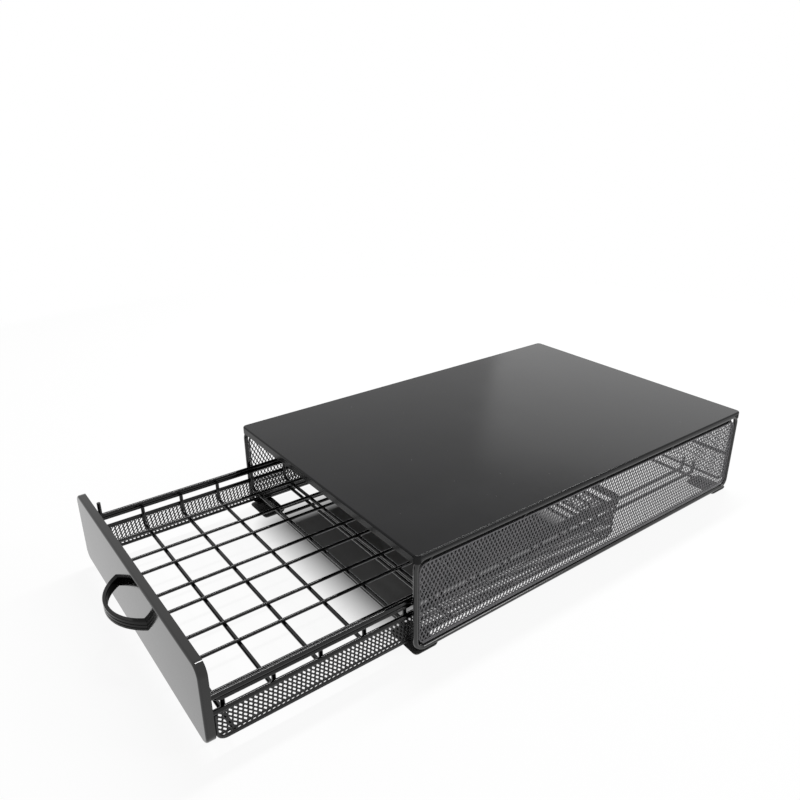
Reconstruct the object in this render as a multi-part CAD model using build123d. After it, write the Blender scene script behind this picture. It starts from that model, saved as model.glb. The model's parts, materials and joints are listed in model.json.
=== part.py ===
"""Coffee pod drawer: a low mesh-sided steel cabinet with one wire drawer, photographed partly open.

Millimetres. +X is to the right seen from the front, +Y runs from the front to the back and +Z is up.
The origin is on the table, midway along and across the whole object with its drawer as it stands.
"""
import math
import os

from build123d import *

os.makedirs("parts", exist_ok=True)

# ---- driving dimensions -------------------------------------------------------------------------
cabinet_width = 296.0
cabinet_depth = 445.0
cabinet_height = 96.0
drawer_opening = 171.0        # how far the drawer stands out of the cabinet
weld_gap = 0.1                # room left between pieces that are welded together
seat_gap = 0.2                # room left round a mesh edge in its channel

# deck
sheet_thickness = 0.8
sheet_corner_radius = 5.0
deck_fold_radius = 1.5        # outside of the fold between the deck and its lips
cutter_margin = 1.0           # how far a cutting block reaches past what it trims
front_lip_height = 7.5
side_lip_height = 3.0
hem_width = 6.0               # the side hem's return under the deck
top_rail_thickness = 1.5
top_rail_height = 9.0
top_rail_inset = 6.5          # deck edge to the rail's outer face
crossbar_wire = 4.0
crossbar_setback = 15.0       # first and last crossbar, in from the deck's ends
crossbar_count = 5

# side frames and mesh panels
frame_wire = 5.0
frame_corner_radius = 9.0
panel_gap = 0.5               # frame wire to mesh channel
top_slot = 2.5                # the wider gap along the top of the panel
border_width = 3.0
border_thickness = 2.8
border_wall = 0.8
border_corner_radius = 8.0
mesh_thickness = 0.9
tie_thickness = 1.4
tie_lean = 4.0                # how far a tie's top end lies behind its lower end

# floor of the cabinet
pad_thickness = 3.0
pad_width = 36.0
pad_length = 26.0
pad_corner_radius = 8.0
floor_wire = 3.5
floor_bar_setback = 14.0
runner_spacing = 13.0         # between the two wires of a pair
runner_offset = 102.0         # centre of a pair from the middle of the cabinet
runner_stop_setback = 8.0     # a runner's upturned rear end, in from the back of the cabinet
runner_stop_height = 21.0     # top of that end above the table
runner_bend_radius = 3.5
slide_gap = 0.3               # drawer above its runners

# back
back_bar_height = 44.5
back_bar_wire = 4.0

# drawer
rear_clearance = 3.0          # closed drawer to the bar across the back
panel_side_clearance = 1.7    # front panel to the inside of each side frame
panel_height = 68.0
panel_bottom = 11.5
panel_return = 7.0
panel_corner_radius = 9.0
panel_sheet = 0.9
panel_fold_radius = 1.8       # outside of the fold between the face and its return
rim_height = 50.0             # centre of the rim wire
rim_wire_size = 4.0
rail_drop = 13.5              # rim wire to lower rail, centre to centre
rack_wire = 3.5
bend_radius = 8.0
cradle_bend_radius = 5.0
cradle_drop = 8.6             # lower rail to the cradle's level run, centre to centre
first_cradle = 16.5           # behind the panel's face
front_stub = 18.0             # the first cradle's left end above the rack frame
pod_pitch = 38.5
lane_count = 4
lane_pitch = 64.0
lane_half_gauge = 19.0        # middle of a lane to the centre of each of its rails
lane_bend_radius = 11.4
lane_wire_size = 3.0
band_gap = 0.5                # panel's return to the mesh skirt
drawer_floor_bars = 3

# handle
handle_span = 75.0            # over its feet
handle_reach = 20.0
handle_height = 8.5
handle_thickness = 3.0        # at the crown
handle_foot = 6.2             # width of each foot where it meets the panel
handle_edge = 0.5
handle_groove_width = 0.9
handle_groove_depth = 0.4
handle_groove_spacing = 2.8   # between the two grooves along the bow's outer face
screw_inset = 4.2             # outer end of a foot to the middle of its screw
screw_radius = 1.2
screw_fit = 0.05
screw_length = 3.8            # from the back of the panel into the foot
screw_head_radius = 2.6
screw_head_height = 1.6

# mesh counts: openings along and up each panel
side_mesh_columns = 31
side_mesh_rows = 3
back_mesh_columns = 20
band_mesh_columns = 40
band_rear_columns = 25
band_mesh_rows = 1
strand_width = 1.9

# ---- places worked out from the driving dimensions ----------------------------------------------
front_y = (drawer_opening + handle_reach + weld_gap - cabinet_depth) / 2
rear_y = front_y + cabinet_depth
half_width = cabinet_width / 2
deck_under = cabinet_height - sheet_thickness
frame_bottom = pad_thickness
frame_top = cabinet_height - side_lip_height - weld_gap
frame_x = half_width - frame_wire / 2 - sheet_thickness
inner_frame_x = frame_x - frame_wire / 2

border_bottom = frame_bottom + frame_wire + panel_gap
border_top = frame_top - frame_wire - top_slot
border_front = front_y + frame_wire + panel_gap
border_rear = rear_y - frame_wire - panel_gap
border_length = border_rear - border_front
border_height = border_top - border_bottom
border_mid_y = (border_front + border_rear) / 2
border_mid_z = (border_bottom + border_top) / 2

back_x = inner_frame_x - weld_gap
back_y = rear_y - frame_wire / 2
back_bar_y = back_y - border_thickness / 2 - weld_gap - back_bar_wire / 2

floor_bar_z = pad_thickness + floor_wire / 2
runner_z = floor_bar_z + floor_wire + weld_gap
drawer_floor_bottom = runner_z + floor_wire / 2 + slide_gap

panel_face = front_y - drawer_opening
panel_back = panel_face + panel_sheet
panel_mid_z = panel_bottom + panel_height / 2
panel_width = 2 * (inner_frame_x - panel_side_clearance)
drawer_rear = back_bar_y - back_bar_wire / 2 - rear_clearance - drawer_opening
rail_x = panel_width / 2 - panel_sheet - weld_gap - rim_wire_size / 2
rail_height = rim_height - rail_drop
rack_height = rim_height - rim_wire_size / 2 - weld_gap - rack_wire / 2
rim_rear = drawer_rear - rim_wire_size / 2

band_top = rail_height - rim_wire_size / 2 - weld_gap
band_bottom = drawer_floor_bottom
band_front = panel_face + panel_return + band_gap
band_height = band_top - band_bottom
band_mid_z = (band_top + band_bottom) / 2
band_rear = rim_rear - bend_radius
band_length = band_rear - band_front
band_mid_y = (band_front + band_rear) / 2
band_rear_width = 2 * (rail_x - bend_radius)

cradle_x = rail_x - rim_wire_size / 2 - weld_gap - rack_wire / 2
cradle_z = rail_height - cradle_drop
cradle_count = int((drawer_rear - bend_radius - panel_face - first_cradle) / pod_pitch) + 1
lane_z = cradle_z + rack_wire / 2 + weld_gap + lane_wire_size / 2


# ---- shapes -------------------------------------------------------------------------------------
def save(shape, name):
    shape.label = name
    export_step(shape, f"parts/{name}.step")


def round_bar(start, end, diameter):
    """A straight round wire between two points."""
    start, end = Vector(*start), Vector(*end)
    section = Plane(origin=start, z_dir=end - start) * Circle(diameter / 2)
    return extrude(section, (end - start).length)


def bent_wire(points, diameter, radius, closed=False):
    """A round wire along straight runs joined by tangent bends."""
    path = FilletPolyline(*points, radius=radius, close=closed)
    section = Plane(origin=path @ 0, z_dir=path % 0) * Circle(diameter / 2)
    return sweep(section, path=path)


def upright(x, y, z, facing_side):
    """A work plane whose first axis runs level along the wall and whose second runs up."""
    if facing_side:
        return Plane(origin=(x, y, z), x_dir=(0, 1, 0), z_dir=(1, 0, 0))
    return Plane(origin=(x, y, z), x_dir=(1, 0, 0), z_dir=(0, -1, 0))


def channel_border(plane, length, height):
    """A rolled channel round a mesh panel: a flat ring with a groove for the mesh's edge."""
    inner_radius = border_corner_radius - border_width
    outer = RectangleRounded(length, height, border_corner_radius)
    inner = RectangleRounded(length - 2 * border_width, height - 2 * border_width, inner_radius)
    ring = extrude(plane * (outer - inner), border_thickness / 2, both=True)
    groove_radius = border_corner_radius - border_wall
    groove = RectangleRounded(length - 2 * border_wall, height - 2 * border_wall, groove_radius)
    return ring - extrude(plane * groove, mesh_thickness / 2 + seat_gap, both=True)


def diamond(centre_u, centre_v, half_u, half_v, limit_u, limit_v):
    """One opening of expanded metal, cut off where it crosses the edge of the net."""
    if abs(centre_u) > limit_u - half_u / 2 and abs(centre_v) > limit_v - half_v / 2:
        return None
    corners = [
        (centre_u + half_u, centre_v),
        (centre_u, centre_v + half_v),
        (centre_u - half_u, centre_v),
        (centre_u, centre_v - half_v),
    ]
    kept = [c for c in corners if abs(c[0]) <= limit_u + 1e-6 and abs(c[1]) <= limit_v + 1e-6]
    return make_face(Polyline(*kept, close=True))


def mesh_panel(plane, length, height, columns, rows):
    """Expanded metal as one holed sheet, with staggered diamond openings inside a plain edge."""
    edge = border_wall + seat_gap
    plate = RectangleRounded(length - 2 * edge, height - 2 * edge, border_corner_radius - edge)
    limit_u = length / 2 - border_width
    limit_v = height / 2 - border_width
    step_u = 2 * limit_u / columns
    step_v = 2 * limit_v / rows
    slope = math.hypot(step_u, step_v)
    half_u = step_u / 2 - strand_width * slope / (2 * step_v)
    half_v = step_v / 2 - strand_width * slope / (2 * step_u)
    openings = []
    for i in range(2 * columns + 1):
        for j in range(2 * rows + 1):
            if (i + j) % 2:
                centre_u = -limit_u + i * step_u / 2
                centre_v = -limit_v + j * step_v / 2
                opening = diamond(centre_u, centre_v, half_u, half_v, limit_u, limit_v)
                if opening is not None:
                    openings.append(opening)
    net = plate - Compound(children=openings)
    return extrude(plane * net, mesh_thickness / 2, both=True)


# ---- cabinet ------------------------------------------------------------------------------------
def folded_tray(width, length, depth, corner_radius, thickness, fold_radius):
    """A sheet with its four edges folded down; its flat face looks up and lies at z = 0."""
    outside = extrude(RectangleRounded(width, length, corner_radius), -depth)
    outside = fillet(outside.faces().sort_by(Axis.Z)[-1].outer_wire().edges(), fold_radius)
    hollow_face = RectangleRounded(
        width - 2 * thickness, length - 2 * thickness, corner_radius - thickness
    )
    hollow = extrude(Pos(0, 0, -thickness) * hollow_face, -depth)
    hollow = fillet(hollow.faces().sort_by(Axis.Z)[-1].outer_wire().edges(), fold_radius - thickness)
    return outside - hollow


def top_sheet():
    """Deck, front and rear lips, and hemmed sides, folded from one sheet."""
    middle_y = (front_y + rear_y) / 2
    hem_length = cabinet_depth - 2 * sheet_corner_radius
    tray = folded_tray(
        cabinet_width,
        cabinet_depth,
        front_lip_height,
        sheet_corner_radius,
        sheet_thickness,
        deck_fold_radius,
    )
    side_trim = Pos(0, middle_y, cabinet_height - side_lip_height) * Box(
        cabinet_width + 2 * cutter_margin,
        hem_length,
        front_lip_height - side_lip_height + cutter_margin,
        align=(Align.CENTER, Align.CENTER, Align.MAX),
    )
    hem_z = cabinet_height - side_lip_height
    body = Pos(0, middle_y, cabinet_height) * tray - side_trim
    for side in (-1, 1):
        x = side * (half_width - hem_width / 2)
        body += Pos(x, middle_y, hem_z + sheet_thickness / 2) * Box(hem_width, hem_length, sheet_thickness)
    return body


def top_rail(side):
    height_z = deck_under - weld_gap - top_rail_height / 2
    x = side * (half_width - top_rail_inset - top_rail_thickness / 2)
    length = cabinet_depth - 2 * (sheet_corner_radius + sheet_thickness)
    return Pos(x, (front_y + rear_y) / 2, height_z) * Box(top_rail_thickness, length, top_rail_height)


def crossbar_places():
    first = front_y + crossbar_setback
    last = rear_y - crossbar_setback
    return [first + i * (last - first) / (crossbar_count - 1) for i in range(crossbar_count)]


def top_crossbar(y):
    z = deck_under - weld_gap - crossbar_wire / 2
    reach = half_width - top_rail_inset - top_rail_thickness - weld_gap
    return round_bar((-reach, y, z), (reach, y, z), crossbar_wire)


def side_frame(side):
    x = side * frame_x
    low = frame_bottom + frame_wire / 2
    high = frame_top - frame_wire / 2
    near = front_y + frame_wire / 2
    far = rear_y - frame_wire / 2
    corners = [(x, far, low), (x, far, high), (x, near, high), (x, near, low)]
    return bent_wire(corners, frame_wire, frame_corner_radius, closed=True)


def side_ties(side):
    """Short slanted ties that cross the slot between the frame and the mesh channel."""
    low = border_top + weld_gap
    high = frame_top - frame_wire - weld_gap
    ties = []
    for y in crossbar_places()[1:-1]:
        section = make_face(
            Polyline(
                (y - tie_lean / 2, low),
                (y - tie_lean / 2 + tie_thickness, low),
                (y + tie_lean / 2 + tie_thickness, high),
                (y + tie_lean / 2, high),
                close=True,
            )
        )
        plane = upright(side * frame_x, 0, 0, True)
        ties.append(extrude(plane * section, tie_thickness / 2, both=True))
    return Compound(children=ties)


def back_plane():
    return upright(0, back_y, border_mid_z, False)


def back_bar():
    """A round wire across the inner face of the rear panel's channel."""
    left = (-back_x, back_bar_y, back_bar_height)
    right = (back_x, back_bar_y, back_bar_height)
    return round_bar(left, right, back_bar_wire)


def floor_crossbar(y):
    reach = frame_x - frame_wire / 2 - weld_gap
    return round_bar((-reach, y, floor_bar_z), (reach, y, floor_bar_z), floor_wire)


def runner(x):
    """A lengthwise wire that the drawer slides on; its rear end turns up and stops the drawer."""
    near = front_y + floor_bar_setback - floor_wire
    far = rear_y - runner_stop_setback
    points = [(x, near, runner_z), (x, far, runner_z), (x, far, runner_stop_height)]
    return bent_wire(points, floor_wire, runner_bend_radius)


def foot_pad(side, y_end):
    """A thin corner pad, rounded at its outer corner, which reaches in from the end at y_end."""
    direction = 1 if y_end == front_y else -1
    pad = Box(pad_width, pad_length, pad_thickness, align=(Align.CENTER, Align.CENTER, Align.MIN))
    corner = Vector(side * pad_width / 2, -direction * pad_length / 2, pad_thickness / 2)
    pad = fillet(pad.edges().filter_by(Axis.Z).sort_by_distance(corner)[0], pad_corner_radius)
    x = side * (frame_x + frame_wire / 2 - pad_width / 2)
    return Pos(x, y_end + direction * pad_length / 2, 0) * pad


# ---- drawer -------------------------------------------------------------------------------------
def front_panel():
    """Shallow pressed tray, open to the back, with two holes for the handle's screws."""
    face = upright(0, panel_face, panel_mid_z, False)
    tray = face * folded_tray(
        panel_width, panel_height, panel_return, panel_corner_radius, panel_sheet, panel_fold_radius
    )
    for x in screw_places():
        hole = upright(x, panel_face, panel_mid_z, False) * Circle(screw_radius + screw_fit)
        tray -= extrude(hole, panel_return, both=True)
    return tray


def screw_places():
    reach = handle_span / 2 - screw_inset
    return [-reach, reach]


def bow(outer_half, outer_reach, inner_half, inner_reach):
    """Plan of a bow between two circular arcs that stand on one line."""
    outer = ThreePointArc((-outer_half, 0), (0, -outer_reach), (outer_half, 0))
    inner = ThreePointArc((-inner_half, 0), (0, -inner_reach), (inner_half, 0))
    feet = [Line(outer @ 0, inner @ 0), Line(inner @ 1, outer @ 1)]
    return make_face([outer, inner] + feet)


def handle():
    """A bow thicker at its feet, with two shallow grooves along its outer face."""
    half = handle_span / 2
    plane = Plane(origin=(0, panel_face - weld_gap, panel_mid_z), x_dir=(1, 0, 0), z_dir=(0, 0, 1))
    plan = bow(half, handle_reach, half - handle_foot, handle_reach - handle_thickness)
    strap = extrude(plane * plan, handle_height / 2, both=True)
    long_edges = [e for e in strap.edges() if e.geom_type != GeomType.LINE]
    strap = chamfer(long_edges, handle_edge)
    inside = half - handle_groove_depth
    outside = half + cutter_margin
    cut = bow(outside, handle_reach + cutter_margin, inside, handle_reach - handle_groove_depth)
    for level in (-1, 1):
        groove_plane = plane.offset(level * handle_groove_spacing / 2)
        strap -= extrude(groove_plane * cut, handle_groove_width / 2, both=True)
    for x in screw_places():
        hole = upright(x, panel_face, panel_mid_z, False) * Circle(screw_radius + screw_fit)
        strap -= extrude(hole, screw_length - panel_sheet)
    return strap


def handle_screws():
    screws = []
    for x in screw_places():
        plane = upright(x, panel_back + weld_gap, panel_mid_z, False)
        shank = extrude(plane * Circle(screw_radius), screw_length)
        head = extrude(plane * Circle(screw_head_radius), -screw_head_height)
        screws.append(shank + head)
    return Compound(children=screws)


def three_sided(z, diameter, radius):
    """A wire down the left side, across the rear and back along the right side."""
    front = panel_back + panel_fold_radius - panel_sheet
    corners = [(-rail_x, front, z), (-rail_x, rim_rear, z), (rail_x, rim_rear, z), (rail_x, front, z)]
    return bent_wire(corners, diameter, radius)


def rack_frame():
    near = panel_face + panel_return + weld_gap + rack_wire / 2
    far = rim_rear
    corners = [
        (rail_x, near, rack_height),
        (rail_x, far, rack_height),
        (-rail_x, far, rack_height),
        (-rail_x, near, rack_height),
    ]
    return bent_wire(corners, rack_wire, bend_radius, closed=True)


def cradle(number):
    """A U-bent wire across the drawer; the first one's left end stands up above the rim."""
    y = panel_face + first_cradle + (number - 1) * pod_pitch
    top = rack_height + rack_wire / 2
    left_top = top + front_stub if number == 1 else top
    corners = [
        (-cradle_x, y, left_top),
        (-cradle_x, y, cradle_z),
        (cradle_x, y, cradle_z),
        (cradle_x, y, top),
    ]
    return bent_wire(corners, rack_wire, cradle_bend_radius)


def lane_wire(number):
    """A hairpin of two rails joined at the rear, which one row of pod rims stands on."""
    middle = (number - (lane_count + 1) / 2) * lane_pitch
    near = panel_face + first_cradle - rack_wire
    far = panel_face + first_cradle + (cradle_count - 1) * pod_pitch + rack_wire + lane_half_gauge
    left, right = middle - lane_half_gauge, middle + lane_half_gauge
    corners = [(left, near, lane_z), (left, far, lane_z), (right, far, lane_z), (right, near, lane_z)]
    return bent_wire(corners, lane_wire_size, lane_bend_radius)


def drawer_floor_wire(number):
    z = drawer_floor_bottom + floor_wire / 2
    reach = rail_x - border_thickness / 2 - weld_gap
    first = band_front + floor_bar_setback
    last = band_rear - floor_bar_setback
    y = first + (number - 1) * (last - first) / (drawer_floor_bars - 1)
    return round_bar((-reach, y, z), (reach, y, z), floor_wire)


# ---- build --------------------------------------------------------------------------------------
save(top_sheet(), "top_sheet")
for number, y in enumerate(crossbar_places(), 1):
    save(top_crossbar(y), f"top_crossbar_{number}")

for name, side in (("left", -1), ("right", 1)):
    wall = upright(side * frame_x, border_mid_y, border_mid_z, True)
    save(top_rail(side), f"top_rail_{name}")
    save(side_frame(side), f"side_frame_{name}")
    save(channel_border(wall, border_length, border_height), f"side_border_{name}")
    net = mesh_panel(wall, border_length, border_height, side_mesh_columns, side_mesh_rows)
    save(net, f"side_mesh_{name}")
    save(side_ties(side), f"side_ties_{name}")
    save(foot_pad(side, front_y), f"foot_front_{name}")
    save(foot_pad(side, rear_y), f"foot_rear_{name}")

    skirt = upright(side * rail_x, band_mid_y, band_mid_z, True)
    save(channel_border(skirt, band_length, band_height), f"band_border_{name}")
    net = mesh_panel(skirt, band_length, band_height, band_mesh_columns, band_mesh_rows)
    save(net, f"band_mesh_{name}")

save(channel_border(back_plane(), 2 * back_x, border_height), "back_border")
save(mesh_panel(back_plane(), 2 * back_x, border_height, back_mesh_columns, side_mesh_rows), "back_mesh")
save(back_bar(), "back_bar")

save(floor_crossbar(front_y + floor_bar_setback), "floor_crossbar_front")
save(floor_crossbar(rear_y - floor_bar_setback), "floor_crossbar_rear")
runner_places = [side * runner_offset + half * runner_spacing / 2 for side in (-1, 1) for half in (-1, 1)]
for number, x in enumerate(runner_places, 1):
    save(runner(x), f"runner_{number}")

save(front_panel(), "front_panel")
save(handle(), "handle")
save(handle_screws(), "handle_screws")
save(three_sided(rim_height, rim_wire_size, bend_radius), "rim_wire")
save(three_sided(rail_height, rim_wire_size, bend_radius), "lower_rail")
skirt = upright(0, rim_rear, band_mid_z, False)
save(channel_border(skirt, band_rear_width, band_height), "band_border_rear")
save(mesh_panel(skirt, band_rear_width, band_height, band_rear_columns, band_mesh_rows), "band_mesh_rear")
save(rack_frame(), "rack_frame")
for number in range(1, cradle_count + 1):
    save(cradle(number), f"cradle_{number}")
for number in range(1, lane_count + 1):
    save(lane_wire(number), f"lane_wire_{number}")
for number in range(1, drawer_floor_bars + 1):
    save(drawer_floor_wire(number), f"floor_wire_{number}")
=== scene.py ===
# Coffee pod drawer, seen from its front right corner with the drawer partly open.
# Metres, same axes as the frame: +Y runs to the back of the cabinet, +Z up.
import json
import math

import bmesh
import bpy
from mathutils import Matrix, Vector


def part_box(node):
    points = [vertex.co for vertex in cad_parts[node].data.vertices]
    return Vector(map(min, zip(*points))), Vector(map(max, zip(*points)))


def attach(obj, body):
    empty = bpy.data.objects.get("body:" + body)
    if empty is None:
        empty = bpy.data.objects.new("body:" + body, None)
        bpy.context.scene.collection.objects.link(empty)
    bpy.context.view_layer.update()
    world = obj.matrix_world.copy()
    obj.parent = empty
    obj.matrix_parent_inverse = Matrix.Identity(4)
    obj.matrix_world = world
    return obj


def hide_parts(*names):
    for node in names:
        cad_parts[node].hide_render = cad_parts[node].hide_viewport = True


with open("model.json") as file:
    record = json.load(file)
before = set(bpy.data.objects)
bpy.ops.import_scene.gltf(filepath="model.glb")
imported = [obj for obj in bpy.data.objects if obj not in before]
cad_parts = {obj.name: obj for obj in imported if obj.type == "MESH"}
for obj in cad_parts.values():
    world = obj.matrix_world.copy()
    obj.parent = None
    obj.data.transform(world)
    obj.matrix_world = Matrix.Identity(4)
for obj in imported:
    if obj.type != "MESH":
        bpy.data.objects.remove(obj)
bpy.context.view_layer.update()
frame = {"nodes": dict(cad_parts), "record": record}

nodes = frame["nodes"]
mm = 0.001


# hex colours are written as they look on a screen
def linearColour(hexText):
    channels = []
    for i in (0, 2, 4):
        c = int(hexText[i:i + 2], 16) / 255
        channels.append(c / 12.92 if c <= 0.04045 else ((c + 0.055) / 1.055) ** 2.4)
    return (*channels, 1.0)


# an input can be a value, a socket, or a node, which stands for its first output in use
def addNode(tree, kind, inputs=None, **settings):
    node = tree.nodes.new(kind)
    for name, value in settings.items():
        setattr(node, name, value)
    for name, value in (inputs or {}).items():
        if isinstance(value, bpy.types.Node):
            value = next(output for output in value.outputs if output.enabled)
        if isinstance(value, bpy.types.NodeSocket):
            tree.links.new(value, node.inputs[name])
        else:
            node.inputs[name].default_value = value
    return node


def newMaterial(name):
    material = bpy.data.materials.new(name)
    material.use_nodes = True
    tree = material.node_tree
    tree.nodes.clear()
    return material, tree


# enamel over steel: a faint orange peel and soft smears break up its reflections, dust lies on level faces
def enamel(name, colour, s):
    material, tree = newMaterial(name)
    coords = addNode(tree, "ShaderNodeTexCoord").outputs["Object"]
    peel = addNode(tree, "ShaderNodeTexNoise", {
        "Vector": coords, "Scale": 1 / (s["peel"] * mm), "Detail": 2.0, "Roughness": 0.5})
    smear = addNode(tree, "ShaderNodeTexNoise", {
        "Vector": coords, "Scale": 1 / (s["smear"] * mm), "Detail": 4.0, "Roughness": 0.6})
    bump = addNode(tree, "ShaderNodeBump", {
        "Height": peel, "Strength": 1.0, "Distance": s["peelDepth"] * mm})
    smeared = addNode(tree, "ShaderNodeMapRange", {"Value": smear, "From Min": 0.35, "From Max": 0.65})
    tint = addNode(tree, "ShaderNodeMix", {
        0: smeared, 6: linearColour(colour), 7: linearColour(s["smearColour"])}, data_type="RGBA")
    if "dust" in s:
        specks = addNode(tree, "ShaderNodeTexVoronoi", {"Vector": coords, "Scale": 1 / (s["dust"] * mm)})
        chance = addNode(tree, "ShaderNodeSeparateColor", {0: specks.outputs["Color"]})
        rare = addNode(tree, "ShaderNodeMapRange", {"Value": chance, "From Min": 0.86, "From Max": 0.9})
        close = addNode(tree, "ShaderNodeMapRange", {
            "Value": specks.outputs["Distance"], "From Min": 0.02, "From Max": 0.045,
            "To Min": 1.0, "To Max": 0.0})
        facing = addNode(tree, "ShaderNodeSeparateXYZ", {
            0: addNode(tree, "ShaderNodeNewGeometry").outputs["Normal"]})
        level = addNode(tree, "ShaderNodeMapRange", {
            "Value": facing.outputs["Z"], "From Min": 0.7, "From Max": 0.95, "To Max": s["dustStrength"]})
        speck = addNode(tree, "ShaderNodeMath", {0: rare, 1: close}, operation="MULTIPLY")
        speck = addNode(tree, "ShaderNodeMath", {0: speck, 1: level}, operation="MULTIPLY")
        tint = addNode(tree, "ShaderNodeMix", {
            0: speck, 6: tint, 7: linearColour(s["dustColour"])}, data_type="RGBA")
    roughness = addNode(tree, "ShaderNodeMapRange", {
        "Value": smear, "From Min": 0.3, "From Max": 0.7,
        "To Min": s["roughness"][0], "To Max": s["roughness"][1]})
    shader = addNode(tree, "ShaderNodeBsdfPrincipled", {
        "Base Color": tint, "IOR": 1.5, "Metallic": 0.0, "Specular IOR Level": s["gloss"],
        "Roughness": roughness, "Normal": bump})
    addNode(tree, "ShaderNodeOutputMaterial", {"Surface": shader})
    return material


# moulded rubber: dull, slightly grainy black
def rubber(name, colour, s):
    material, tree = newMaterial(name)
    coords = addNode(tree, "ShaderNodeTexCoord").outputs["Object"]
    grain = addNode(tree, "ShaderNodeTexNoise", {
        "Vector": coords, "Scale": 1 / (s["grain"] * mm), "Detail": 2.0, "Roughness": 0.5})
    bump = addNode(tree, "ShaderNodeBump", {
        "Height": grain, "Strength": 0.6, "Distance": s["grainDepth"] * mm})
    shader = addNode(tree, "ShaderNodeBsdfPrincipled", {
        "Base Color": linearColour(colour), "IOR": 1.52, "Roughness": s["roughness"], "Normal": bump})
    addNode(tree, "ShaderNodeOutputMaterial", {"Surface": shader})
    return material


# zinc-plated steel: bright metal, unevenly dulled by handling
def zincSteel(name, colour, s):
    material, tree = newMaterial(name)
    coords = addNode(tree, "ShaderNodeTexCoord").outputs["Object"]
    marks = addNode(tree, "ShaderNodeTexNoise", {
        "Vector": coords, "Scale": 1 / (s["marks"] * mm), "Detail": 4.0, "Roughness": 0.5})
    roughness = addNode(tree, "ShaderNodeMapRange", {
        "Value": marks, "From Min": 0.3, "From Max": 0.7,
        "To Min": s["roughness"][0], "To Max": s["roughness"][1]})
    shader = addNode(tree, "ShaderNodeBsdfPrincipled", {
        "Base Color": linearColour(colour), "Metallic": 1.0, "Roughness": roughness})
    addNode(tree, "ShaderNodeOutputMaterial", {"Surface": shader})
    return material


# sizes in mm: peel is the width of an orange-peel bump, smear of a smear, dust of a speck's cell
# the deck's baked coat is a soft dark mirror with single dust specks on it
deckFinish = {"peel": 0.9, "peelDepth": 0.006, "smear": 55, "smearColour": "0c0c0e", "gloss": 0.17,
              "roughness": (0.14, 0.2), "dust": 7.0, "dustColour": "c8c8ca", "dustStrength": 0.55}
# the panel's is thicker and glossier, and mirrors the pale room
panelFinish = {"peel": 2.2, "peelDepth": 0.002, "smear": 26, "smearColour": "0c0b0b", "gloss": 0.5,
               "roughness": (0.06, 0.11)}
handleFinish = dict(panelFinish, gloss=0.24, roughness=(0.1, 0.14))
# dipped wire looks wet, with long thin highlights
wireFinish = {"peel": 1.4, "peelDepth": 0.004, "smear": 9, "smearColour": "060607", "gloss": 0.36,
              "roughness": (0.05, 0.09)}
frameFinish = dict(wireFinish, gloss=0.6, roughness=(0.1, 0.15))
# the rails are dull, so that the slot in front of them stays dark
railFinish = dict(wireFinish, gloss=0.12, roughness=(0.4, 0.5))
# the side and back nets and the wall rims share the low skirt's black dipped coat, but are painted a lighter
# grey: a painted sheen that stands in for the highlights on their strands; the skirt keeps the coat's black
netFinishPaintedSheen = {"peel": 0.8, "peelDepth": 0.004, "smear": 14, "smearColour": "5c5a5d", "gloss": 0.6,
             "roughness": (0.3, 0.38)}
skirtFinish = dict(netFinishPaintedSheen, smearColour="0c0c0d", gloss=0.4)
padFinish = {"grain": 0.6, "grainDepth": 0.05, "roughness": 0.72}
screwFinish = {"marks": 0.4, "roughness": (0.24, 0.4)}

deckEnamel = enamel("baked_enamel_deck", "070709", deckFinish)
panelEnamel = enamel("baked_enamel_panel", "080707", panelFinish)
wireEnamel = enamel("dipped_enamel_wire", "030304", wireFinish)
# the lighter grey of this coat is a painted sheen, not the coat's own colour
meshEnamelPaintedSheen = enamel("dipped_enamel_mesh_painted_sheen", "4c4c4f", netFinishPaintedSheen)
skirtEnamel = enamel("dipped_enamel_skirt", "070708", skirtFinish)
frameEnamel = enamel("dipped_enamel_frame", "050506", frameFinish)
railEnamel = enamel("dull_enamel_rail", "020202", railFinish)
handleEnamel = enamel("baked_enamel_handle", "040404", handleFinish)
padRubber = rubber("rubber_pad", "151515", padFinish)
screwZinc = zincSteel("zinc_screw", "b9bcc0", screwFinish)

finishes = {"deck_paint": deckEnamel, "panel_paint": panelEnamel, "handle_paint": handleEnamel,
            "wire_paint": wireEnamel, "mesh_paint": meshEnamelPaintedSheen, "pad_rubber": padRubber,
            "screw_steel": screwZinc}
slotOfNode = {p["node"]: p["material_slot"] for p in frame["record"]["subparts"]}
for name, obj in nodes.items():
    obj.data.materials.clear()
    obj.data.materials.append(finishes[slotOfNode[name]])
print("materials:", len(finishes))


def meshObject(name, verts, faces, linked=True):
    mesh = bpy.data.meshes.new(name)
    mesh.from_pydata(verts, [], faces)
    mesh.update()
    obj = bpy.data.objects.new(name, mesh)
    if linked:
        bpy.context.scene.collection.objects.link(obj)
    return obj


def turnOutward(obj):
    shell = bmesh.new()
    shell.from_mesh(obj.data)
    bmesh.ops.recalc_face_normals(shell, faces=shell.faces)
    shell.to_mesh(obj.data)
    shell.free()
    return obj


def newGroup(name, inputs):
    tree = bpy.data.node_groups.new(name, "GeometryNodeTree")
    for inputName, kind in inputs:
        tree.interface.new_socket(inputName, in_out="INPUT", socket_type="NodeSocket" + kind)
    tree.interface.new_socket("Geometry", in_out="OUTPUT", socket_type="NodeSocketGeometry")
    return tree, addNode(tree, "NodeGroupInput").outputs


# runs a node tree once on some points, and keeps the result as a plain mesh
def bakeNodes(name, group, values, points=()):
    holder = meshObject(name + "_source", points, [])
    modifier = holder.modifiers.new("nodes", "NODES")
    modifier.node_group = group
    for item in group.interface.items_tree:
        if item.name in values:
            modifier[item.identifier] = values[item.name]
    bpy.context.view_layer.update()
    graph = bpy.context.evaluated_depsgraph_get()
    mesh = bpy.data.meshes.new_from_object(holder.evaluated_get(graph))
    bpy.data.objects.remove(holder)
    mesh.name = name
    obj = bpy.data.objects.new(name, mesh)
    bpy.context.scene.collection.objects.link(obj)
    return obj


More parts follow.
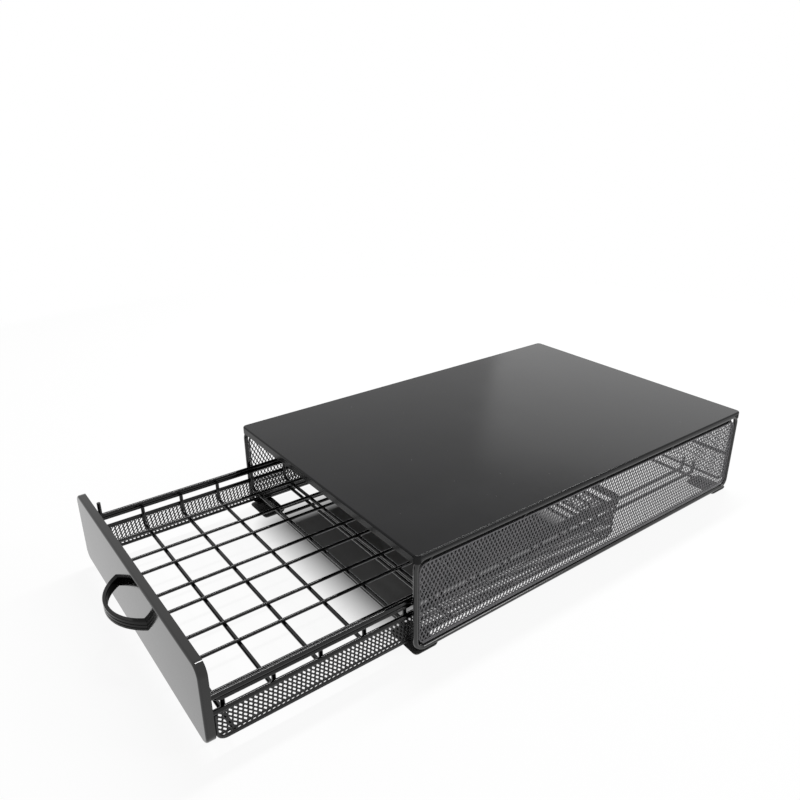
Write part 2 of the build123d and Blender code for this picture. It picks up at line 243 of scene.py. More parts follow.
def placeOnWall(obj, centre, right, up=(0, 0, 1)):
    right, up = Vector(right), Vector(up)
    turn = Matrix((right, up, right.cross(up))).transposed().to_4x4()
    obj.data.transform(Matrix.Translation(centre) @ turn)


def finishPiece(obj, body, slotName, *replaced, sharp=40):
    obj.data.shade_smooth()
    obj.data.set_sharp_from_angle(angle=math.radians(sharp))
    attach(obj, body)
    if replaced:
        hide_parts(*replaced)


# one cell of a net: four outer corners and eight points round its hole, then the same for its back
# firsts says which of the eight lies before each corner
def cellObject(name, verts, firsts):
    faces = []
    for i, first in enumerate(firsts):
        after = (i + 1) % 4
        a, b, c = 4 + first, 4 + (first + 1) % 8, 4 + (first + 2) % 8
        faces += [(i, b, a), (i, after, c, b)]
        faces += [(12 + i, 12 + a, 12 + b), (12 + i, 12 + b, 12 + c, 12 + after)]
    faces += [(4 + k, 4 + (k + 1) % 8, 16 + (k + 1) % 8, 16 + k) for k in range(8)]
    return meshObject(name, verts, faces, linked=False)


# one opening of expanded metal; each strand leans, so its lower edge stands proud
def strandCell(name, s):
    across = Vector((s["pitch"], 0)) * mm
    up = Vector((s["rowShift"], s["rowStep"])) * mm
    corners = [across / 2, up - across / 2, -across / 2, across / 2 - up]
    hole = []
    for i, corner in enumerate(corners):
        before = (corner - corners[i - 1]).normalized()
        after = (corners[(i + 1) % 4] - corner).normalized()
        inwardA, inwardB = Vector((-before.y, before.x)), Vector((-after.y, after.x))
        inset = corner + (inwardA + inwardB) * (s["strand"] * mm / 2) / (1 + inwardA.dot(inwardB))
        hole += [inset - before * s["rounding"] * mm, inset + after * s["rounding"] * mm]
    top = max(p.y for p in hole)
    verts = []
    for side in (1, -1):
        face = side * s["thickness"] * mm / 2
        verts += [(p.x, p.y, face + side * s["crown"] * mm) for p in corners]
        for p in hole:
            lean = max(-1, min(1, 1.6 * p.y / top)) * s["lean"] * mm
            verts.append((p.x, p.y, face + lean))
    return cellObject(name, verts, (0, 2, 4, 6))


# one slanted slot with cut corners, as along the folded foot of the drawer's skirt
def slotCell(name, s):
    across, up = s["pitch"] * mm / 2, s["rowStep"] * mm / 2
    corners = [(across, -up), (across, up), (-across, up), (-across, -up)]
    w, h, c, k = (s[key] * mm for key in ("slotWidth", "slotHeight", "slotCorner", "slant"))
    w, h, k = w / 2, h / 2, k / 2
    ring = [(w + k * (c - h) / h, c - h), (w + k * (h - c) / h, h - c), (w - c + k, h), (c - w + k, h),
            (-w + k * (h - c) / h, h - c), (-w + k * (c - h) / h, c - h), (c - w - k, -h), (w - c - k, -h)]
    verts = []
    for side in (1, -1):
        verts += [(x, y, side * s["thickness"] * mm / 2) for x, y in corners]
        verts += [(x, y, side * s["thickness"] * mm * s["edge"]) for x, y in ring]
    return cellObject(name, verts, (7, 1, 3, 5))


# copies of a cell in shifted rows, cut off along a rounded outline
def netGroup():
    tree, given = newGroup("expanded_metal", (
        ("Cell", "Object"), ("Pitch", "Float"), ("Row Step", "Float"), ("Row Shift", "Float"),
        ("Columns", "Int"), ("Rows", "Int"), ("Half Length", "Float"), ("Half Height", "Float"),
        ("Corner Radius", "Float"), ("Top Radius", "Float"), ("Material", "Material")))
    spans = {}
    for axis, step, count in (("X", "Pitch", "Columns"), ("Y", "Row Step", "Rows")):
        spans["Size " + axis] = addNode(
            tree, "ShaderNodeMath", {0: given[step], 1: given[count]}, operation="MULTIPLY")
        spans["Vertices " + axis] = addNode(
            tree, "ShaderNodeMath", {0: given[count], 1: 1.0}, operation="ADD")
    grid = addNode(tree, "GeometryNodeMeshGrid", spans)

    # which row a point is in, and how far that row stands along
    place = addNode(tree, "ShaderNodeSeparateXYZ", {0: addNode(tree, "GeometryNodeInputPosition")})
    shift = place.outputs["Y"]
    for operation, other in (("DIVIDE", given["Row Step"]), ("ADD", 0.25), ("FLOOR", 0.0),
                             ("MULTIPLY", given["Row Shift"]), ("DIVIDE", given["Pitch"]), ("FRACT", 0.0),
                             ("MULTIPLY", given["Pitch"])):
        shift = addNode(tree, "ShaderNodeMath", {0: shift, 1: other}, operation=operation)
    offset = addNode(tree, "ShaderNodeCombineXYZ", {"X": shift})
    spread = addNode(tree, "GeometryNodeSetPosition", {"Geometry": grid, "Offset": offset})

    # cells that lie wholly past the outline go
    moved = addNode(tree, "ShaderNodeSeparateXYZ", {0: addNode(tree, "GeometryNodeInputPosition")})
    beyond = {}
    for i, (axis, half, step, share) in enumerate((("X", "Half Length", "Pitch", 0.45),
                                                   ("Y", "Half Height", "Row Step", 0.9))):
        margin = addNode(tree, "ShaderNodeMath", {0: given[step], 1: share}, operation="MULTIPLY")
        reach = addNode(tree, "ShaderNodeMath", {0: given[half], 1: margin}, operation="ADD")
        size = addNode(tree, "ShaderNodeMath", {0: moved.outputs[axis]}, operation="ABSOLUTE")
        beyond[i] = addNode(tree, "ShaderNodeMath", {0: size, 1: reach}, operation="GREATER_THAN")
    outside = addNode(tree, "ShaderNodeMath", beyond, operation="MAXIMUM")
    kept = addNode(tree, "GeometryNodeDeleteGeometry", {"Geometry": spread, "Selection": outside})
    cell = addNode(tree, "GeometryNodeObjectInfo", {"Object": given["Cell"]})
    copies = addNode(tree, "GeometryNodeInstanceOnPoints", {
        "Points": kept, "Instance": cell.outputs["Geometry"]})
    real = addNode(tree, "GeometryNodeRealizeInstances", {0: copies})

    # everything past the rounded outline is drawn back onto it
    here = addNode(tree, "GeometryNodeInputPosition")
    upper = addNode(tree, "ShaderNodeSeparateXYZ", {0: here})
    upper = addNode(tree, "ShaderNodeMath", {0: upper.outputs["Y"], 1: 0.0}, operation="GREATER_THAN")
    change = addNode(tree, "ShaderNodeMath", {0: given["Top Radius"], 1: given["Corner Radius"]},
                     operation="SUBTRACT")
    change = addNode(tree, "ShaderNodeMath", {0: upper, 1: change}, operation="MULTIPLY")
    radius = addNode(tree, "ShaderNodeMath", {0: given["Corner Radius"], 1: change}, operation="ADD")
    flatX = addNode(tree, "ShaderNodeMath", {0: given["Half Length"], 1: radius}, operation="SUBTRACT")
    flatY = addNode(tree, "ShaderNodeMath", {0: given["Half Height"], 1: radius}, operation="SUBTRACT")
    flat = addNode(tree, "ShaderNodeCombineXYZ", {"X": flatX, "Y": flatY, "Z": 1.0})
    size = addNode(tree, "ShaderNodeVectorMath", {0: here}, operation="ABSOLUTE")
    past = addNode(tree, "ShaderNodeVectorMath", {0: size, 1: flat}, operation="SUBTRACT")
    past = addNode(tree, "ShaderNodeVectorMath", {0: past, 1: (0, 0, 0)}, operation="MAXIMUM")
    pull = addNode(tree, "ShaderNodeVectorMath", {0: past}, operation="LENGTH")
    pull = addNode(tree, "ShaderNodeMath", {0: pull, 1: 1e-9}, operation="MAXIMUM")
    pull = addNode(tree, "ShaderNodeMath", {0: radius, 1: pull}, operation="DIVIDE")
    pull = addNode(tree, "ShaderNodeMath", {0: pull, 1: 1.0}, operation="MINIMUM")
    within = addNode(tree, "ShaderNodeVectorMath", {0: size, 1: flat}, operation="MINIMUM")
    past = addNode(tree, "ShaderNodeVectorMath", {0: past, "Scale": pull}, operation="SCALE")
    held = addNode(tree, "ShaderNodeVectorMath", {0: within, 1: past}, operation="ADD")
    side = addNode(tree, "ShaderNodeVectorMath", {0: here}, operation="SIGN")
    held = addNode(tree, "ShaderNodeVectorMath", {0: held, 1: side}, operation="MULTIPLY")
    trimmed = addNode(tree, "GeometryNodeSetPosition", {"Geometry": real, "Position": held})
    joined = addNode(tree, "GeometryNodeMergeByDistance", {"Geometry": trimmed, "Distance": 0.03 * mm})
    painted = addNode(tree, "GeometryNodeSetMaterial", {"Geometry": joined, "Material": given["Material"]})
    addNode(tree, "NodeGroupOutput", {"Geometry": painted})
    return tree


# strand and slot sizes in mm; rowShift sets how far each row stands along from the one below
sideNet = {"pitch": 3.93, "rowStep": 3.73, "rowShift": 1.965, "strand": 1.0, "rounding": 0.55,
           "thickness": 0.4, "crown": 0.16, "lean": 0.22}
bandNet = {"pitch": 3.82, "rowStep": 3.4, "rowShift": 0.4, "strand": 1.05, "rounding": 0.5,
           "thickness": 0.4, "crown": 0.16, "lean": 0.2}
hemSlots = {"pitch": 3.82, "rowStep": 2.6, "rowShift": 0.0, "slotWidth": 2.3, "slotHeight": 1.3,
            "slotCorner": 0.45, "slant": 0.5, "thickness": 0.7, "edge": 0.3}
netTree = netGroup()
sideCell = strandCell("side_cell", sideNet)
bandCell = strandCell("band_cell", bandNet)
hemCell = slotCell("hem_cell", hemSlots)


def netPiece(name, material, cell, s, length, height, cornerRadius, topRadius, rows=None):
    if rows is None:
        rows = int(height / s["rowStep"] / mm) + 3
    return bakeNodes(name, netTree, {
        "Cell": cell, "Material": material, "Pitch": s["pitch"] * mm, "Row Step": s["rowStep"] * mm,
        "Row Shift": s["rowShift"] * mm, "Columns": int(length / s["pitch"] / mm) + 3, "Rows": rows,
        "Half Length": length / 2, "Half Height": height / 2, "Corner Radius": cornerRadius * mm,
        "Top Radius": topRadius * mm})


def roundedPath(corners, radius, steps=8, closed=False):
    points = []
    for i, place in enumerate(corners):
        corner = Vector(place)
        if not closed and i in (0, len(corners) - 1):
            points.append(corner)
            continue
        before = (Vector(corners[i - 1]) - corner).normalized()
        after = (Vector(corners[(i + 1) % len(corners)]) - corner).normalized()
        half = before.angle(after) / 2
        centre = corner + (before + after).normalized() * radius / math.sin(half)
        start = corner + before * radius / math.tan(half) - centre
        end = corner + after * radius / math.tan(half) - centre
        points += [centre + start.slerp(end, k / steps).normalized() * radius for k in range(steps + 1)]
    return points


# the profile's first number runs across the path within its plane, the second along the plane's normal
def sweep(name, points, planeNormal, profile, closed=False):
    planeNormal = Vector(planeNormal)
    verts, faces = [], []
    count, sides = len(points), len(profile)
    for i, place in enumerate(points):
        if closed:
            along = points[(i + 1) % count] - points[i - 1]
        else:
            along = points[min(i + 1, count - 1)] - points[max(i - 1, 0)]
        across = along.normalized().cross(planeNormal)
        verts += [place + across * u + planeNormal * v for u, v in profile]
    for i in range(count if closed else count - 1):
        for k in range(sides):
            a, b = i * sides + k, i * sides + (k + 1) % sides
            c, d = ((i + 1) % count) * sides + (k + 1) % sides, ((i + 1) % count) * sides + k
            faces.append((a, b, c, d))
    if not closed:
        faces.append(tuple(reversed(range(sides))))
        faces.append(tuple(range((count - 1) * sides, count * sides)))
    return turnOutward(meshObject(name, verts, faces))


# power 1 gives an oval, and the nearer it comes to 0 the nearer that is to a box
def ovalProfile(width, thickness, sides, power=1.0):
    profile = []
    for k in range(sides):
        angle = 2 * math.pi * k / sides
        c, d = math.cos(angle), math.sin(angle)
        profile.append((math.copysign(abs(c) ** power, c) * width * mm / 2,
                        math.copysign(abs(d) ** power, d) * thickness * mm / 2))
    return profile


def joinPieces(name, pieces):
    whole = bmesh.new()
    for piece in pieces:
        whole.from_mesh(piece.data)
        bpy.data.objects.remove(piece)
    obj = meshObject(name, [], [])
    whole.to_mesh(obj.data)
    whole.free()
    return obj


def middle(low, high):
    return (low + high) / 2


def paint(obj, material):
    obj.data.materials.clear()
    obj.data.materials.append(material)
    return obj


# the loops, rims and ties of the walls, in mm
sideFrame = {"wire": 4.4, "bend": 8.7, "bendSteps": 14, "sides": 20}
wallRim = {"width": 1.5, "thickness": 2.0, "corner": 7.4, "gapToWire": 0.35, "hemHeight": 3.0,
           "hemThickness": 1.7, "hemInset": 0.55, "hemPower": 0.45, "netLap": 0.6, "sides": 14, "hemSides": 16}
sideTie = {"lean": 5.0, "waist": 1.5, "flare": 3.6, "thickness": 1.7, "sides": 10, "fromEnd": 12,
           "intoRim": 0.7, "intoWire": 0.5,
           "widening": ((0.0, 1.0), (0.12, 0.62), (0.3, 0.1), (0.5, 0.0), (0.7, 0.1), (0.88, 0.62),
                        (1.0, 1.0))}
crossbars = sorted(name for name in nodes if name.startswith("top_crossbar_"))
rimHalf = wallRim["width"] * mm / 2
rimCorner = wallRim["corner"] * mm
hemIn = wallRim["corner"] * mm * wallRim["hemInset"]
lap = wallRim["netLap"] * mm


def wallLoop(low, high, x, inset, radius, steps=10):
    a, b, c, d = low.y + inset, high.y - inset, low.z + inset, high.z - inset
    return roundedPath([(x, a, c), (x, b, c), (x, b, d), (x, a, d)], radius, steps, closed=True)


# a round edge with a flat folded hem along its foot
def rimPiece(name, loop, hemStart, hemEnd, planeNormal):
    edge = sweep("edge", loop, planeNormal,
                 ovalProfile(wallRim["width"], wallRim["thickness"], wallRim["sides"]), closed=True)
    hem = sweep("hem", [Vector(hemStart), Vector(hemEnd)], planeNormal,
                ovalProfile(wallRim["hemHeight"], wallRim["hemThickness"], wallRim["hemSides"],
                            wallRim["hemPower"]))
    # the rim takes the nets' painted sheen, a lighter grey than its black coat
    return paint(joinPieces(name, [edge, hem]), meshEnamelPaintedSheen)


# slanted bridge with flared ends, welded across the slot over the panel
def slantedTie(x, y, low, high):
    verts, faces, sides = [], [], sideTie["sides"]
    for share, widen in sideTie["widening"]:
        width = sideTie["waist"] + (sideTie["flare"] - sideTie["waist"]) * widen
        z = low + (high - low) * share
        yMid = y + (share - 0.5) * sideTie["lean"] * mm
        verts += [(x + v, yMid + u, z) for u, v in ovalProfile(width, sideTie["thickness"], sides)]
    rings = len(verts) // sides
    for i in range(rings - 1):
        for k in range(sides):
            a, b = i * sides + k, i * sides + (k + 1) % sides
            faces.append((a, b, b + sides, a + sides))
    faces.append(tuple(range(sides)))
    faces.append(tuple(range((rings - 1) * sides, rings * sides)))
    return turnOutward(meshObject("tie", verts, faces))


for sideName, sign in (("left", -1), ("right", 1)):
    low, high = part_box("side_frame_" + sideName)
    x = middle(low, high).x
    wire = sideFrame["wire"] * mm
    loop = wallLoop(low, high, x, wire / 2, sideFrame["bend"] * mm, sideFrame["bendSteps"])
    frameWire = sweep("frame_wire_" + sideName, loop, (1, 0, 0),
                      ovalProfile(sideFrame["wire"], sideFrame["wire"], sideFrame["sides"]), closed=True)
    finishPiece(paint(frameWire, frameEnamel), "cabinet", "wire_paint", "side_frame_" + sideName)

    panelLow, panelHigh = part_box("side_border_" + sideName)
    near, far = low.y + wire + wallRim["gapToWire"] * mm, high.y - wire - wallRim["gapToWire"] * mm
    panelLow, panelHigh = Vector((x, near, panelLow.z)), Vector((x, far, panelHigh.z))
    hemMid = panelLow.z + wallRim["hemHeight"] * mm / 2
    rim = rimPiece("panel_rim_" + sideName, wallLoop(panelLow, panelHigh, x, rimHalf, rimCorner),
                   (x, near + hemIn, hemMid), (x, far - hemIn, hemMid), (1, 0, 0))
    finishPiece(rim, "cabinet", "wire_paint", "side_border_" + sideName)

    # the net's grey is a painted sheen standing in for highlights on its strands
    net = netPiece("net_side_" + sideName, meshEnamelPaintedSheen, sideCell, sideNet, far - near - 2 * lap,
                   panelHigh.z - panelLow.z - 2 * lap, wallRim["corner"], wallRim["corner"])
    placeOnWall(net, middle(panelLow, panelHigh), (0, sign, 0))
    finishPiece(net, "cabinet", "mesh_paint", "side_mesh_" + sideName, sharp=75)

    ties = []
    for name in crossbars:
        y = middle(*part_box(name)).y
        y = max(near + sideTie["fromEnd"] * mm, min(far - sideTie["fromEnd"] * mm, y))
        ties.append(slantedTie(x, y, panelHigh.z - sideTie["intoRim"] * mm,
                               high.z - wire + sideTie["intoWire"] * mm))
    ties = joinPieces("slanted_ties_" + sideName, ties)
    finishPiece(paint(ties, frameEnamel), "cabinet", "wire_paint", "side_ties_" + sideName)

# flat bar on edge behind the slot, deep enough to close the view through it
topRail = {"thickness": 1.5, "below": 4.1, "power": 0.22}
for sideName in ("left", "right"):
    low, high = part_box("top_rail_" + sideName)
    bottom = low.z - topRail["below"] * mm
    x, z = middle(low, high).x, (bottom + high.z) / 2
    rail = sweep("deep_rail_" + sideName, [Vector((x, low.y, z)), Vector((x, high.y, z))], (0, 0, 1),
                 ovalProfile(topRail["thickness"], (high.z - bottom) / mm, 24, topRail["power"]))
    finishPiece(paint(rail, railEnamel), "cabinet", "wire_paint", "top_rail_" + sideName)
print("side walls done")

# the back wall's strands are finer, so that the room still shows through two nets
backNet = dict(sideNet, strand=0.42, rounding=0.4, crown=0.08, lean=0.08)
low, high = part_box("back_border")
y = middle(low, high).y
a, b, c, d = low.x + rimHalf, high.x - rimHalf, low.z + rimHalf, high.z - rimHalf
loop = roundedPath([(a, y, c), (b, y, c), (b, y, d), (a, y, d)], rimCorner, 10, True)
hemMid = low.z + wallRim["hemHeight"] * mm / 2
rim = rimPiece("panel_rim_back", loop, (low.x + hemIn, y, hemMid), (high.x - hemIn, y, hemMid), (0, 1, 0))
finishPiece(rim, "cabinet", "wire_paint", "back_border")
# the net's grey is a painted sheen standing in for highlights on its strands
net = netPiece("net_back", meshEnamelPaintedSheen, strandCell("back_cell", backNet), backNet, high.x - low.x - 2 * lap,
               high.z - low.z - 2 * lap, wallRim["corner"], wallRim["corner"])
placeOnWall(net, middle(low, high), (-1, 0, 0))
finishPiece(net, "cabinet", "mesh_paint", "back_mesh", sharp=75)
print("back wall done")

# low net round the drawer: rolled edge on three sides, a thin line, and slots between line and foot
skirt = {"roll": 2.5, "line": 1.0, "lineThickness": 1.5, "lineInset": 0.8, "corner": 7.0, "topLap": 0.5,
         "topDrop": 0.4, "slotInset": 0.45, "footLap": 0.2, "netCorner": 3.0, "netTop": 0.3, "slotEnd": 0.2}


def skirtWall(tag, start, end, low, high, normal, right):
    along = (end - start).normalized()
    roll = skirt["roll"] * mm
    up = Vector((0, 0, 1))
    top, foot = up * (high - skirt["topDrop"] * mm), up * (low + roll / 2)
    corners = [start + top + along * roll / 2, start + foot + along * roll / 2,
               end + foot - along * roll / 2, end + top - along * roll / 2]
    rolled = sweep("roll", roundedPath(corners, skirt["corner"] * mm, 8), normal,
                   ovalProfile(skirt["roll"], skirt["roll"], 14))
    lineZ = low + roll + hemSlots["rowStep"] * mm
    inner = roll * skirt["lineInset"]
    line = sweep("line", [start + up * lineZ + along * inner, end + up * lineZ - along * inner], normal,
                 ovalProfile(skirt["line"], skirt["lineThickness"], 12))
    hem = joinPieces("skirt_hem_" + tag, [rolled, line])

    length = (end - start).length
    centre = (start + end) / 2
    slots = netPiece("slots", skirtEnamel, hemCell, hemSlots,
                     length - 2 * skirt["corner"] * mm * skirt["slotInset"], hemSlots["rowStep"] * mm,
                     skirt["slotEnd"], skirt["slotEnd"], rows=0)
    placeOnWall(slots, centre + up * (lineZ - hemSlots["rowStep"] * mm / 2), right)
    netLow, netHigh = lineZ - skirt["footLap"] * mm, high + skirt["topLap"] * mm
    net = netPiece("net", skirtEnamel, bandCell, bandNet, length - roll, netHigh - netLow,
                   skirt["netCorner"], skirt["netTop"])
    placeOnWall(net, centre + up * (netLow + netHigh) / 2, right)
    net = joinPieces("skirt_net_" + tag, [net, slots])
    finishPiece(paint(hem, skirtEnamel), "drawer", "wire_paint", "band_border_" + tag)
    finishPiece(paint(net, skirtEnamel), "drawer", "mesh_paint", "band_mesh_" + tag, sharp=75)


for sideName, sign in (("left", -1), ("right", 1)):
    low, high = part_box("band_border_" + sideName)
    x = middle(low, high).x
    skirtWall(sideName, Vector((x, low.y, 0)), Vector((x, high.y, 0)), low.z, high.z,
              (1, 0, 0), (0, sign, 0))
low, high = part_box("band_border_rear")
y = middle(low, high).y
skirtWall("rear", Vector((low.x, y, 0)), Vector((high.x, y, 0)), low.z, high.z, (0, 1, 0), (-1, 0, 0))
print("skirt done")

# small uneven lumps where wires are welded across each other; the wires' sizes are the frame's own, in mm
nuggets = {"size": 1.7, "flatness": 0.62, "spread": 0.25, "seed": 7, "laneWire": 3.0, "railWire": 4.0}


def nuggetGroup():
    tree, given = newGroup("weld_nuggets", (
        ("Geometry", "Geometry"), ("Nugget", "Object"), ("Size", "Float"), ("Spread", "Float"),
        ("Seed", "Int"), ("Material", "Material")))
    points = addNode(tree, "GeometryNodeMeshToPoints", {"Mesh": given["Geometry"]})
    least = addNode(tree, "ShaderNodeMath", {0: 1.0, 1: given["Spread"]}, operation="SUBTRACT")
    most = addNode(tree, "ShaderNodeMath", {0: 1.0, 1: given["Spread"]}, operation="ADD")
    grown = addNode(tree, "FunctionNodeRandomValue", {2: least, 3: most, "Seed": given["Seed"]},
                    data_type="FLOAT")
    size = addNode(tree, "ShaderNodeMath", {0: grown, 1: given["Size"]}, operation="MULTIPLY")
    otherSeed = addNode(tree, "ShaderNodeMath", {0: given["Seed"], 1: 1.0}, operation="ADD")
    turned = addNode(tree, "FunctionNodeRandomValue", {
        0: (0, 0, 0), 1: (0.3, 0.3, 6.28), "Seed": otherSeed}, data_type="FLOAT_VECTOR")
    shape = addNode(tree, "GeometryNodeObjectInfo", {"Object": given["Nugget"]})
    copies = addNode(tree, "GeometryNodeInstanceOnPoints", {
        "Points": points, "Instance": shape.outputs["Geometry"], "Rotation": turned, "Scale": size})
    real = addNode(tree, "GeometryNodeRealizeInstances", {0: copies})
    painted = addNode(tree, "GeometryNodeSetMaterial", {"Geometry": real, "Material": given["Material"]})
    addNode(tree, "NodeGroupOutput", {"Geometry": painted})
    return tree


nuggetShape = meshObject("nugget_shape", [], [], linked=False)
ball = bmesh.new()
bmesh.ops.create_uvsphere(ball, u_segments=8, v_segments=5, radius=0.5)
for v in ball.verts:
    v.co.z *= nuggets["flatness"]
ball.to_mesh(nuggetShape.data)
ball.free()
nuggetTree = nuggetGroup()

cradles = [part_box(name) for name in nodes if name.startswith("cradle_")]
lanes = [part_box(name) for name in nodes if name.startswith("lane_wire_")]
railLow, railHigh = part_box("lower_rail")
rackLow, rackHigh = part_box("rack_frame")
laneHalf, railWire = nuggets["laneWire"] * mm / 2, nuggets["railWire"] * mm
drawerWelds = []
for cradleLow, cradleHigh in cradles:
    y = middle(cradleLow, cradleHigh).y
    for laneLow, laneHigh in lanes:
        for x in (laneLow.x + laneHalf, laneHigh.x - laneHalf):
            drawerWelds.append((x, y, laneLow.z))
    for x in (railLow.x + railWire, railHigh.x - railWire):
        drawerWelds.append((x, y, middle(railLow, railHigh).z))
        drawerWelds.append((x, y, rackLow.z))
cabinetWelds = []
for name in crossbars:
    barLow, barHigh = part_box(name)
    bar = middle(barLow, barHigh)
    cabinetWelds += [(x, bar.y, bar.z) for x in (barLow.x, barHigh.x)]
runnerX = [middle(*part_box(name)).x for name in nodes if name.startswith("runner_")]
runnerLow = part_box("runner_1")[0]
for name in ("floor_crossbar_front", "floor_crossbar_rear"):
    barLow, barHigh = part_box(name)
    bar = middle(barLow, barHigh)
    cabinetWelds += [(x, bar.y, runnerLow.z) for x in runnerX]
    cabinetWelds += [(x, bar.y, bar.z) for x in (barLow.x, barHigh.x)]
for body, places in (("drawer", drawerWelds), ("cabinet", cabinetWelds)):
    welds = bakeNodes("weld_nuggets_" + body, nuggetTree, {
        "Nugget": nuggetShape, "Size": nuggets["size"] * mm, "Spread": nuggets["spread"],
        "Seed": nuggets["seed"], "Material": wireEnamel}, places)
    finishPiece(welds, body, "wire_paint", sharp=180)
print("welds done:", len(drawerWelds) + len(cabinetWelds))

# moulded pads with a rounded edge: levels are heights above the table and insets, in mm
pads = {"corner": 5.0, "levels": ((0.0, 2.2), (0.6, 1.5), (1.4, 0.9), (2.2, 0.5), (2.8, 0.3), (3.0, 0.6))}


def padPiece(name, low, high):
    verts, faces = [], []
    for z, inset in pads["levels"]:
        a, b, c, d = low.x + inset * mm, high.x - inset * mm, low.y + inset * mm, high.y - inset * mm
        corners = [(a, c, z * mm), (b, c, z * mm), (b, d, z * mm), (a, d, z * mm)]
        ring = roundedPath(corners, (pads["corner"] - inset) * mm, 8, True)
        verts += ring
    count = len(ring)
    for i in range(len(pads["levels"]) - 1):
        for k in range(count):
            p, q = i * count + k, i * count + (k + 1) % count
            faces.append((p, q, q + count, p + count))
    faces.append(tuple(reversed(range(count))))
    faces.append(tuple(range(len(verts) - count, len(verts))))
    return paint(meshObject(name, verts, faces), padRubber)


for corner in ("front_left", "front_right", "rear_left", "rear_right"):
    low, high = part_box("foot_" + corner)
    finishPiece(padPiece("pad_" + corner, low, high), "cabinet", "pad_rubber", "foot_" + corner)
print("pads done")

# white paper floor: it takes the object's shadow, and runs out into the white background away from it
# for the camera it is lifted towards white, except in a patch deep under the cabinet, where the lift is off
# and the paper's colour is painted darker: a painted shade seen by every ray
# the patch is a box about the origin with soft sides, its half sizes in metres
stageSettings = {"floorSize": 60.0, "floorColour": "f8f8f8", "fadeFrom": 0.45, "fadeTo": 1.1, "lift": 0.92,
                 "shadeHalf": (0.085, 0.105, 9.0), "shadeMargin": 0.045, "shadeDepth": 0.6}
bpy.ops.mesh.primitive_plane_add(size=stageSettings["floorSize"])
floor = bpy.context.object
floor.name = "floor"
floorPaper, tree = newMaterial("paper_floor")
coords = addNode(tree, "ShaderNodeTexCoord").outputs["Object"]
distance = addNode(tree, "ShaderNodeVectorMath", {0: coords}, operation="LENGTH")
fade = addNode(tree, "ShaderNodeMapRange", {
    "Value": distance, "From Min": stageSettings["fadeFrom"], "From Max": stageSettings["fadeTo"]})
fromPatch = addNode(tree, "ShaderNodeVectorMath", {0: coords}, operation="ABSOLUTE")
fromPatch = addNode(tree, "ShaderNodeVectorMath", {0: fromPatch, 1: stageSettings["shadeHalf"]},
                    operation="SUBTRACT")
fromPatch = addNode(tree, "ShaderNodeVectorMath", {0: fromPatch, 1: (0, 0, 0)}, operation="MAXIMUM")
fromPatch = addNode(tree, "ShaderNodeVectorMath", {0: fromPatch}, operation="LENGTH")
bright = addNode(tree, "ShaderNodeMapRange", {
    "Value": fromPatch, "From Min": 0.0, "From Max": stageSettings["shadeMargin"]})
dark = addNode(tree, "ShaderNodeMath", {0: 1.0, 1: bright}, operation="SUBTRACT")
# painted shade: inside the patch the paper's colour is darkened by shadeDepth
dark = addNode(tree, "ShaderNodeMath", {0: dark, 1: stageSettings["shadeDepth"]}, operation="MULTIPLY")
shade = addNode(tree, "ShaderNodeMix", {
    0: dark, 6: linearColour(stageSettings["floorColour"]), 7: (0, 0, 0, 1)}, data_type="RGBA")
path = addNode(tree, "ShaderNodeLightPath").outputs
lifted = addNode(tree, "ShaderNodeMath", {0: path["Is Camera Ray"], 1: bright}, operation="MULTIPLY")
lifted = addNode(tree, "ShaderNodeMath", {0: lifted, 1: stageSettings["lift"]}, operation="MULTIPLY")
shown = addNode(tree, "ShaderNodeMath", {0: path["Is Glossy Ray"], 1: path["Is Transmission Ray"]},
                operation="MAXIMUM")
shown = addNode(tree, "ShaderNodeMath", {0: fade, 1: shown}, operation="MAXIMUM")
shown = addNode(tree, "ShaderNodeMath", {0: shown, 1: lifted}, operation="MAXIMUM")
paper = addNode(tree, "ShaderNodeBsdfDiffuse", {"Color": shade})
white = addNode(tree, "ShaderNodeEmission", {"Color": (1, 1, 1, 1), "Strength": 1.0})
mix = addNode(tree, "ShaderNodeMixShader", {0: shown, 1: paper, 2: white})
addNode(tree, "ShaderNodeOutputMaterial", {"Surface": mix})
floor.data.materials.append(floorPaper)

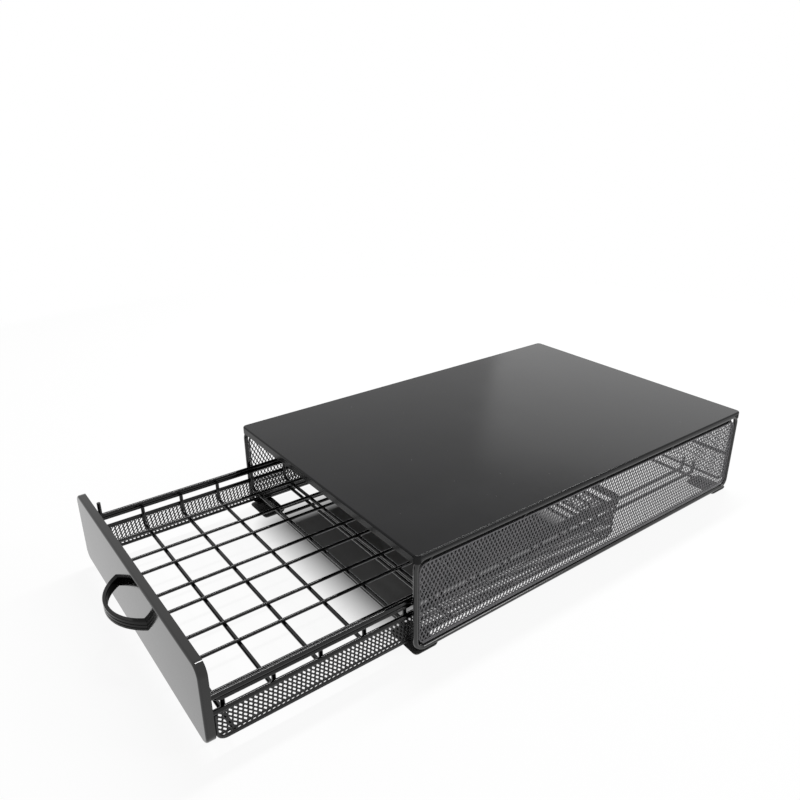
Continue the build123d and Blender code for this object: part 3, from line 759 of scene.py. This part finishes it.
# white background that the camera and mirrors see, and a dim room that lights the object
roomSettings = {"dim": 0.28, "white": 1.0}
world = bpy.data.worlds.new("studio")
bpy.context.scene.world = world
world.use_nodes = True
tree = world.node_tree
tree.nodes.clear()
path = addNode(tree, "ShaderNodeLightPath").outputs
seen = addNode(tree, "ShaderNodeMath", {0: path["Is Glossy Ray"], 1: path["Is Transmission Ray"]},
               operation="MAXIMUM")
seen = addNode(tree, "ShaderNodeMath", {0: path["Is Camera Ray"], 1: seen}, operation="MAXIMUM")
dim = addNode(tree, "ShaderNodeBackground", {"Color": (1, 1, 1, 1), "Strength": roomSettings["dim"]})
white = addNode(tree, "ShaderNodeBackground", {"Color": (1, 1, 1, 1), "Strength": roomSettings["white"]})
mix = addNode(tree, "ShaderNodeMixShader", {0: seen, 1: dim, 2: white})
addNode(tree, "ShaderNodeOutputWorld", {"Surface": mix})

# places and sizes in metres, power in watts; the strip is mirrored along the left of the deck
lights = {
    "strip": {"place": (-0.35, 0.8, 1.5), "target": (-0.35, 0.8, 0.0), "size": (0.16, 1.7), "power": 31},
    "side": {"place": (1.5, 1.1, 1.1), "target": (0.0, 0.05, 0.0), "size": (0.5, 0.5), "power": 9},
    "back_glow": {"place": (-1.0, 2.0, 0.9), "target": (0.0, 0.1, 0.1), "size": (1.4, 0.7), "power": 2}}
for name, s in lights.items():
    data = bpy.data.lights.new(name, "AREA")
    data.shape = "RECTANGLE"
    data.size, data.size_y = s["size"]
    data.energy = s["power"]
    light = bpy.data.objects.new(name, data)
    light.location = s["place"]
    light.rotation_euler = (Vector(s["target"]) - Vector(s["place"])).to_track_quat("-Z", "Y").to_euler()
    bpy.context.scene.collection.objects.link(light)
print("stage done")

# where the photograph was taken from, in metres and degrees; ahead counts from the cabinet's front
cameraSettings = {"right": 0.5092, "ahead": 0.28305, "up": 0.4179, "azimuth": 53.324, "elevation": 22.903,
                  "roll": -0.404, "lens": 33.07}
cameraData = bpy.data.cameras.new("camera")
cameraData.lens = cameraSettings["lens"]
cameraData.sensor_width = 36
camera = bpy.data.objects.new("camera", cameraData)
place = (cameraSettings["right"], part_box("top_sheet")[0].y - cameraSettings["ahead"], cameraSettings["up"])
turn = (Matrix.Rotation(math.radians(cameraSettings["azimuth"]), 4, "Z")
        @ Matrix.Rotation(math.radians(90 - cameraSettings["elevation"]), 4, "X")
        @ Matrix.Rotation(math.radians(cameraSettings["roll"]), 4, "Z"))
camera.matrix_world = Matrix.Translation(place) @ turn
bpy.context.scene.collection.objects.link(camera)
bpy.context.scene.camera = camera
bpy.context.scene.view_settings.view_transform = "Standard"
